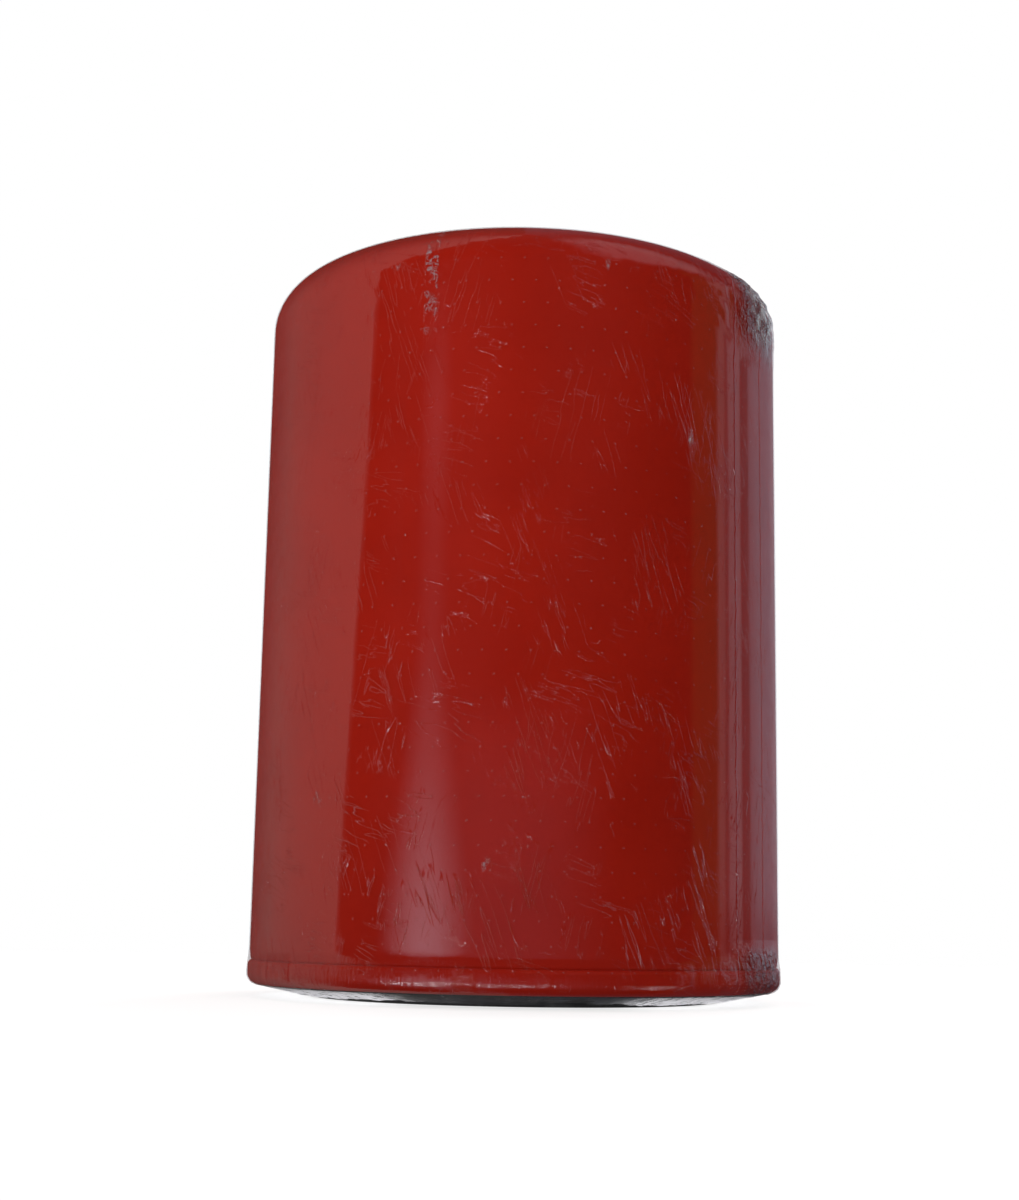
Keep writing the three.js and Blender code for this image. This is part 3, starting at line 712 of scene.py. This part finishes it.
def ring(node, inner_r, body, material, slot, round_r=0.3):
    """A plain turned ring in a CAD node's box, with its edges rounded."""
    outer_r, low, high = box_mm(node)
    outline = rounded([(inner_r, low), (outer_r, low), (outer_r, high), (inner_r, high)], round_r)
    piece = turned(node + "_look", split_long(outline, 4), material, 144, sharp=60)
    return settle(piece, body, node)


def end_caps():
    rim_r, low, high = box_mm("lower_end_cap")
    bore = 13.2
    lower = [(bore, low), (rim_r, low), (rim_r, high), (rim_r - SHEET, high), (rim_r - SHEET, low + SHEET),
             (bore + SHEET, low + SHEET), (bore + SHEET, low + 3), (bore, low + 3)]
    rim_r, low, high = box_mm("upper_end_cap")
    bore = 14.5
    upper = [(bore, high), (rim_r, high), (rim_r, low), (rim_r - SHEET, low), (rim_r - SHEET, high - SHEET),
             (bore, high - SHEET)]
    for node, outline in (("lower_end_cap", lower), ("upper_end_cap", upper)):
        section = split_long(rounded(outline, 0.6), 4)
        settle(turned(node + "_look", section, ZINC, 160), "element", node)


def pleats():
    """Forty folds of paper with rounded tips, 0.6 mm thick."""
    tip, low, high = box_mm("pleated_paper")
    count, paper, gap, valley = 40, 0.6, 0.3, 17.8
    pitch = TAU / count
    sides = []
    for inner in (0, 1):
        corners = []
        for i in range(count):
            tip_r = tip - paper * inner - (1.1 if i == 0 else 0)
            floor_r = valley + paper * (1 - inner)
            tip_half = (gap + paper * (1 - inner)) / tip_r
            floor_half = (gap + paper * inner) / floor_r
            at_tip, at_floor = i * pitch, (i + 0.5) * pitch
            for r, a in ((tip_r, at_tip - tip_half), (tip_r, at_tip + tip_half),
                         (floor_r, at_floor - floor_half), (floor_r, at_floor + floor_half)):
                corners.append((r * math.cos(a), r * math.sin(a)))
        sides.append(rounded(corners, 0.5, 3))
    points = len(sides[0])
    levels = np.linspace(low, high, 5)
    vertices = np.concatenate([np.column_stack([side, np.full(points, z)]) for z in levels for side in sides])
    faces = []
    for i in range(points):
        j = (i + 1) % points
        for level in range(len(levels) - 1):
            here, above = 2 * level * points, 2 * (level + 1) * points
            faces.append([here + i, here + j, above + j, above + i])
            faces.append([here + points + j, here + points + i, above + points + i, above + points + j])
        last = 2 * (len(levels) - 1) * points
        faces.append([i, points + i, points + j, j])
        faces.append([last + j, last + points + j, last + points + i, last + i])
    piece = add_object("pleats", vertices, faces, PAPER, 50)
    return settle(piece, "element", "pleated_paper")


def seam_clip():
    outer_r, low, high = box_mm("paper_seam_clip")
    reach, slot_half = 5, 1.2
    half = slot_half + SHEET
    corners = [(outer_r - reach, -half), (outer_r, -half), (outer_r, half), (outer_r - reach, half),
               (outer_r - reach, slot_half), (outer_r - SHEET, slot_half), (outer_r - SHEET, -slot_half),
               (outer_r - reach, -slot_half)]
    outline = rounded(corners, 0.35, 3)
    outline = np.column_stack([outline, np.zeros(len(outline))])
    piece = add_object("clip", *prism_parts(outline, (0, 0, low), (0, 0, high)), PLATE)
    return settle(piece, "element", "paper_seam_clip")


def perforated_tube():
    outer_r, low, high = box_mm("center_tube")
    wall, rows, holes = 0.6, 6, 6
    inner_r = outer_r - wall
    outline = rounded([(inner_r, low), (outer_r, low), (outer_r, high), (inner_r, high)], 0.15, 2)
    piece = turned("perforated_tube", split_long(outline, 8), PLATE, 96)
    drills = []
    for row in range(rows):
        z = low + (high - low) * (row + 0.5) / rows
        for i in range(holes):
            angle = TAU * (i + (row % 2) / 2) / holes
            out = (math.cos(angle), math.sin(angle), 0)
            drills.append(drill_parts((outer_r * out[0], outer_r * out[1], z), out, 2.4, 6, 28))
    cut_out(piece, drills)
    return settle(piece, "element", "center_tube")


def spring(node, radius, wire_r, turns, flat_turns):
    """A coil spring between its CAD node's lowest and highest levels; it is not attached to any body."""
    _, low, high = box_mm(node)
    piece = wire_coil(node + "_look", radius, wire_r, low, high, turns, flat_turns, SPRING)
    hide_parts(node)
    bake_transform(piece)


def bypass_cage():
    flange_r, low, high = box_mm("bypass_cage")
    outer_r, bore, floor = 11.5, 2.5, low + 0.6
    outline = [(bore, low), (outer_r, low), (outer_r, high - SHEET), (flange_r, high - SHEET),
               (flange_r, high), (outer_r - SHEET, high), (outer_r - SHEET, floor), (bore, floor)]
    piece = turned("valve_cage", split_long(rounded(outline, 0.4), 3), PLATE, 96)
    windows = []
    for i in range(4):
        out = np.array((math.cos(TAU * i / 4), math.sin(TAU * i / 4), 0))
        across, up = np.array((-out[1], out[0], 0)), np.array((0, 0, 1))
        corners = rounded([(-4.5, 0), (4.5, 0), (4.5, 9.5), (-4.5, 9.5)], 1.2, 4)
        outline = np.array([across * u + up * (floor + 2 + v) for u, v in corners])
        windows.append(prism_parts(outline, out * 8, out * 14))
    cut_out(piece, windows)
    return settle(piece, "element", "bypass_cage")


def bypass_poppet():
    disc_r, low, high = box_mm("bypass_poppet")
    under, stem_r = high - 1.2, 2.2
    outline = np.array([(0.01, high), (disc_r - 0.9, high), (disc_r - 0.25, high - 0.1), (disc_r, high - 0.4),
                        (disc_r, under + 0.25), (disc_r - 0.25, under), (4.6, under), (3.9, under - 0.3),
                        (3.4, under - 1.2), (2.7, under - 1.7), (stem_r, under - 2.2), (stem_r, low + 1),
                        (stem_r - 0.4, low + 0.3), (stem_r - 1, low), (0.01, low)])
    piece = turned("valve_poppet", split_long(outline, 3, closed=False), PLATE, 96, closed=False)
    return settle(piece, "bypass_valve", "bypass_poppet")


# ---------------------------------------------------------------- shrink film

def film_noise(rng, angles, along, rows, columns):
    """Smooth noise on the film: a random grid, wrapped round the axis, read with cubic easing."""
    grid = rng.uniform(-1, 1, (columns, rows))
    u = (angles / TAU * columns) % columns
    v = np.clip(along, 0, 1) * (rows - 1.001)
    i, j = u.astype(int), v.astype(int)
    fu, fv = u - i, v - j
    fu, fv = fu * fu * (3 - 2 * fu), fv * fv * (3 - 2 * fv)
    a, b = grid[i % columns], grid[(i + 1) % columns]
    low = a[:, j] * (1 - fu[:, None]) + b[:, j] * fu[:, None]
    high = a[:, j + 1] * (1 - fu[:, None]) + b[:, j + 1] * fu[:, None]
    return low * (1 - fv) + high * fv


def film_outline(opening_r):
    """The tight film's section: it bridges the crease and rounds the seam towards the gasket."""
    lift = 0.12
    side_r = SEAM_R + lift
    seam = np.array([(side_r + (r - SEAM_R) * 1.05, z - 0.1) for r, z in seam_corner(0, 0, -76, 14)])
    cone_end = (GASKET_R + 0.35, SEAM_BOTTOM - 1.2)
    levels = np.concatenate([np.arange(SHOULDER_Z - 0.5, SHOULDER_Z - 16, -0.55),
                             np.linspace(SHOULDER_Z - 17, 20, 26), np.arange(19, BEAD_Z + 0.2, -0.5)])
    bridge = np.clip((CREASE_Z + 2.0 - levels) / (CREASE_Z + 2.0 - BEAD_Z), 0, 1)
    wall_r = WALL_R + lift + (side_r - WALL_R - lift) * bridge * bridge * (3 - 2 * bridge)
    wall = np.stack([wall_r, levels], axis=1)
    cone = split_long(np.array([seam[-1], cone_end]), 0.6, closed=False)[1:]
    return np.concatenate([can_outline(-lift, 16, 26, opening_r), wall, seam, cone])


def shrink_film():
    """One thin sheet, tight on the wall, crumpled at the ears where the flat tubing was folded."""
    opening_r = 21.0
    ear_angles, front = (-26, 154), -90
    outline = film_outline(opening_r)
    step = np.gradient(outline, axis=0)
    normal = np.stack([-step[:, 1], step[:, 0]], axis=1)
    normal /= np.linalg.norm(normal, axis=1)[:, None]
    along = np.cumsum(np.r_[0, np.linalg.norm(np.diff(outline, axis=0), axis=1)])
    share = along / along[-1]
    rng = np.random.default_rng(7)
    radius, z = outline[:, 0], outline[:, 1]
    on_shoulder = np.exp(-((z - SHOULDER_Z - 1) / 6.5) ** 2) * (radius > 38)
    on_seam = np.exp(-((z - SEAM_BOTTOM - 2.5) / 3.5) ** 2) * (radius > 42)
    gather_top = np.exp(-((radius - opening_r) / 4.5) ** 2) * (z > SHOULDER_Z)
    gather_low = np.clip((SEAM_R - 1.5 - radius) / 8.0, 0, 1) * (z < SEAM_BOTTOM)

    def beside(angles, centre, width):
        """1 at an angle in degrees, fading to nothing on both sides of it."""
        off = (angles - math.radians(centre) + math.pi) % TAU - math.pi
        return np.exp(-(off / math.radians(width)) ** 2)[:, None]

    def crumple(angles, vertices):
        """Lifts the film off the can: most at the ears, and in gathers round both openings."""
        folds = np.abs(film_noise(rng, angles, share, 90, 170))
        folds += 0.6 * np.abs(film_noise(rng, angles, share, 150, 270))
        broad = film_noise(rng, angles, share, 9, 14)
        loose = 0.5 + 0.5 * film_noise(rng, angles, share, 30, 60)
        ripple = film_noise(rng, angles, share * 0.15, 12, 110)
        ears = sum(beside(angles, centre, 13) for centre in ear_angles)
        height = 0.03 * (1 + broad) + 0.04 * (on_shoulder + on_seam) * folds
        height += ears * on_shoulder * (0.6 * folds + 0.4 * loose)
        height += ears * on_seam * (0.22 * folds + 0.15 * loose)
        height += 0.22 * gather_top * (np.abs(ripple) + 0.3 * folds)
        height += np.maximum(0.22 * gather_low * (ripple + 0.5 * folds), -0.06)
        out_r = np.minimum(radius + normal[:, 0] * height, FILM_R - 0.01)
        vertices[..., 0] = np.cos(angles)[:, None] * out_r
        vertices[..., 1] = np.sin(angles)[:, None] * out_r
        drop = 0.6 * gather_low * (1 - beside(angles, front, 34))
        vertices[..., 2] = np.maximum(z + normal[:, 1] * height - drop, 0.25)
        return vertices

    piece = turned("film_sleeve", outline, FILM, 540, closed=False, shape=crumple, sharp=180)
    settle(piece, "canister", "shrink_film")
    # Lay-flat tubing 152 mm wide, so 304 mm round, cut 175 mm long before it was shrunk.
    return piece


# ---------------------------------------------------------------- stage and light

def floor():
    """A pale floor that fades out into the pale background, and isn't there from below.

    It glows a little, and more under the seam, which stands just above it.
    """
    material, g = new_material("pale_floor")
    split = g.node("SeparateXYZ", {0: g.place()})
    squares = [g.math("MULTIPLY", s, s) for s in split.outputs[:2]]
    radius = g.math("SQRT", g.math("ADD", *squares))
    fade = g.smooth(radius, 120, 420, 1, 0)
    above = g.math("SUBTRACT", 1.0, g.node("NewGeometry").outputs["Backfacing"])
    lit = g.node("BsdfDiffuse", {"Color": (0.45, 0.45, 0.45, 1)})
    seen = g.node("LightPath").outputs["Is Camera Ray"]
    under = g.math("MULTIPLY", g.math("SUBTRACT", 1.0, seen), g.smooth(radius, 48, 40, 0.0, 0.75))
    strength = g.math("ADD", g.math("MULTIPLY", seen, 0.60), g.math("ADD", under, 0.12))
    glow = g.node("Emission", {"Color": (1, 1, 1, 1), "Strength": strength})
    pale = g.node("AddShader", {0: lit, 1: glow})
    clear = g.node("BsdfTransparent")
    finish_material(g, g.node("MixShader", {0: g.math("MULTIPLY", fade, above), 1: clear, 2: pale}))
    half = 430
    corners = [(-half, -half, 0), (half, -half, 0), (half, half, 0), (-half, half, 0)]
    made = add_object("floor", corners, [[0, 1, 2, 3]], material)
    if made.data.polygons[0].normal.z < 0:
        made.data.flip_normals()
    made.visible_glossy = False
    made.location.z = -0.05 * MM


def world():
    """A pale background, and for reflections a room with a tall bright wall on the left."""
    made = bpy.data.worlds.new("studio")
    made.use_nodes = True
    g = Graph(made.node_tree)
    split = g.node("SeparateXYZ", {0: g.node("TexCoord").outputs["Generated"]})
    x, y, z = split.outputs
    azimuth = g.math("DEGREES", g.math("ARCTAN2", x, g.math("MULTIPLY", y, -1)))
    elevation = g.math("DEGREES", g.math("ARCSINE", z))

    # Brightness round the horizon, by the angle from the front, left negative. The left wall leans.
    leaned = g.math("ADD", azimuth, g.math("MULTIPLY", g.math("SUBTRACT", 20.0, elevation), 0.57))
    left = g.ramp(leaned, [
        (-180, (0.04, 0.04, 0.035)), (-160, (0.045, 0.044, 0.04)), (-140, (0.075, 0.073, 0.07)),
        (-120, (0.14, 0.136, 0.125)), (-90, (0.27, 0.26, 0.24)), (-68.5, (0.34, 0.33, 0.30)),
        (-67.2, (0.015, 0.015, 0.014)), (180, (0.015, 0.015, 0.014)),
    ])
    right = g.ramp(azimuth, [
        (78.4, (0.015, 0.015, 0.014)), (81, (0.05, 0.075, 0.03)), (94.8, (0.05, 0.075, 0.03)),
        (96.8, (0.25, 0.27, 0.26)), (100.7, (0.20, 0.22, 0.22)), (102, (0.01, 0.01, 0.01)),
        (103.5, (0.26, 0.32, 0.35)), (112, (0.28, 0.34, 0.37)), (113.6, (0.07, 0.09, 0.10)),
        (119.5, (0.07, 0.09, 0.10)), (121.7, (0.20, 0.23, 0.27)), (146, (0.20, 0.23, 0.28)),
        (157, (0.32, 0.36, 0.42)), (180, (0.40, 0.42, 0.48)),
    ])
    level = g.math("MULTIPLY", g.smooth(elevation, -2.0, 1.5, 0.12, 1.0),
                   g.smooth(elevation, 40, 26, 0.2, 1.0))
    right = g.mix(1.0, right, g.combine(level, level, level), "MULTIPLY")
    room = g.mix(g.math("GREATER_THAN", azimuth, 78.4), left, right)

    # A streak beside the left wall widens and brightens towards the floor.
    streak = g.ramp(elevation, [
        (-60, (0.2,) * 3), (-5, (1.1,) * 3), (-1, (1.2,) * 3), (1, (0.9,) * 3), (4.7, (0.3,) * 3),
        (9, (0.10,) * 3), (12, (0.08,) * 3), (16, (0.16,) * 3), (18.5, (0.06,) * 3),
        (20.5, (0.0,) * 3),
    ], -90, 90)
    width = g.smooth(elevation, 9, -1, 4.5, 12)
    off = g.math("DIVIDE", g.math("ABSOLUTE", g.math("ADD", azimuth, 37.5)), width)
    streak = g.mix(g.smooth(off, 1.9, 0.0), (0, 0, 0, 1), streak)
    room = g.mix(1.0, room, g.mix(1.0, streak, (1.0, 0.96, 1.08, 1), "MULTIPLY"), "ADD")

    def patch(centre, half, soft, low, high, low_soft, high_soft, colour):
        """Adds a soft-edged bright patch, its half width and its levels in degrees."""
        off = g.math("ABSOLUTE", g.math("SUBTRACT", azimuth, centre))
        across = g.smooth(off, half + soft, half - soft)
        up = g.math("MULTIPLY", g.smooth(elevation, low - low_soft, low),
                    g.smooth(elevation, high + high_soft, high))
        mask = g.math("MULTIPLY", across, up)
        return g.mix(1.0, room, g.mix(mask, (0, 0, 0, 1), colour + (1,)), "ADD")

    # Small lamps low down, which only the rolled seam mirrors, then a high and a low wide glow.
    for centre, half, bright in ((-38, 3.0, 10), (-2, 1.4, 6), (8, 1.0, 4), (66, 1.2, 6)):
        room = patch(centre, half, 1.5, -38, -8, 4, 2, (bright,) * 3)
    room = patch(72, 34, 14, 42, 72, 8, 10, (0.34, 0.31, 0.33))
    room = patch(-2, 28, 20, -40, 3, 10, 5, (0.07, 0.09, 0.115))
    seen = g.node("Background", {"Color": (1, 1, 1, 1), "Strength": 1.0})
    lit = g.node("Background", {"Color": room, "Strength": 1.0})
    camera_ray = g.node("LightPath").outputs["Is Camera Ray"]
    g.node("OutputWorld", {"Surface": g.node("MixShader", {0: camera_ray, 1: lit, 2: seen})})
    bpy.context.scene.world = made


def soft_light(name, azimuth, elevation, distance, size, power):
    """A square soft box that lights the filter but doesn't show in its gloss."""
    data = bpy.data.lights.new(name, "AREA")
    data.shape = "SQUARE"
    data.size = size
    data.energy = power
    made = bpy.data.objects.new(name, data)
    a, e = math.radians(azimuth), math.radians(elevation)
    away = Vector((math.sin(a) * math.cos(e), -math.cos(a) * math.cos(e), math.sin(e)))
    made.location = Vector((0, 0, 0.07)) + away * distance
    made.rotation_mode = "QUATERNION"
    made.rotation_quaternion = away.to_track_quat("Z", "Y")
    made.visible_glossy = False
    bpy.context.scene.collection.objects.link(made)


# ---------------------------------------------------------------- assembly

can()
gasket()
retainer()
threaded_plate()
drainback_cone()
seam_compound()
shrink_film()

end_caps()
pleats()
seam_clip()
perforated_tube()
bypass_cage()
bypass_poppet()
ring("lower_cap_adhesive", 14.0, "element", PLASTISOL, "plastisol")
ring("upper_cap_adhesive", 14.8, "element", PLASTISOL, "plastisol")
ring("bypass_seat", 7.0, "element", PLATE, "plate_steel", 0.2)
ring("bypass_seal", 5.8, "bypass_valve", GASKET_RUBBER, "black_rubber")
spring("element_support_spring", 24, 1.1, 3.5, 0.8)
spring("bypass_spring", 6.2, 0.6, 6, 0.9)

floor()
world()
soft_light("key", -30, 8, 1.0, 0.75, 3.9)
soft_light("left", -135, 8, 1.0, 0.75, 8.0)
soft_light("right", 28, 30, 1.0, 0.75, 2.3)
soft_light("right_back", 145, 14, 1.0, 0.75, 9.5)
soft_light("top", 0, 88, 1.0, 0.9, 3.0)

bpy.context.scene.view_settings.view_transform = "Standard"
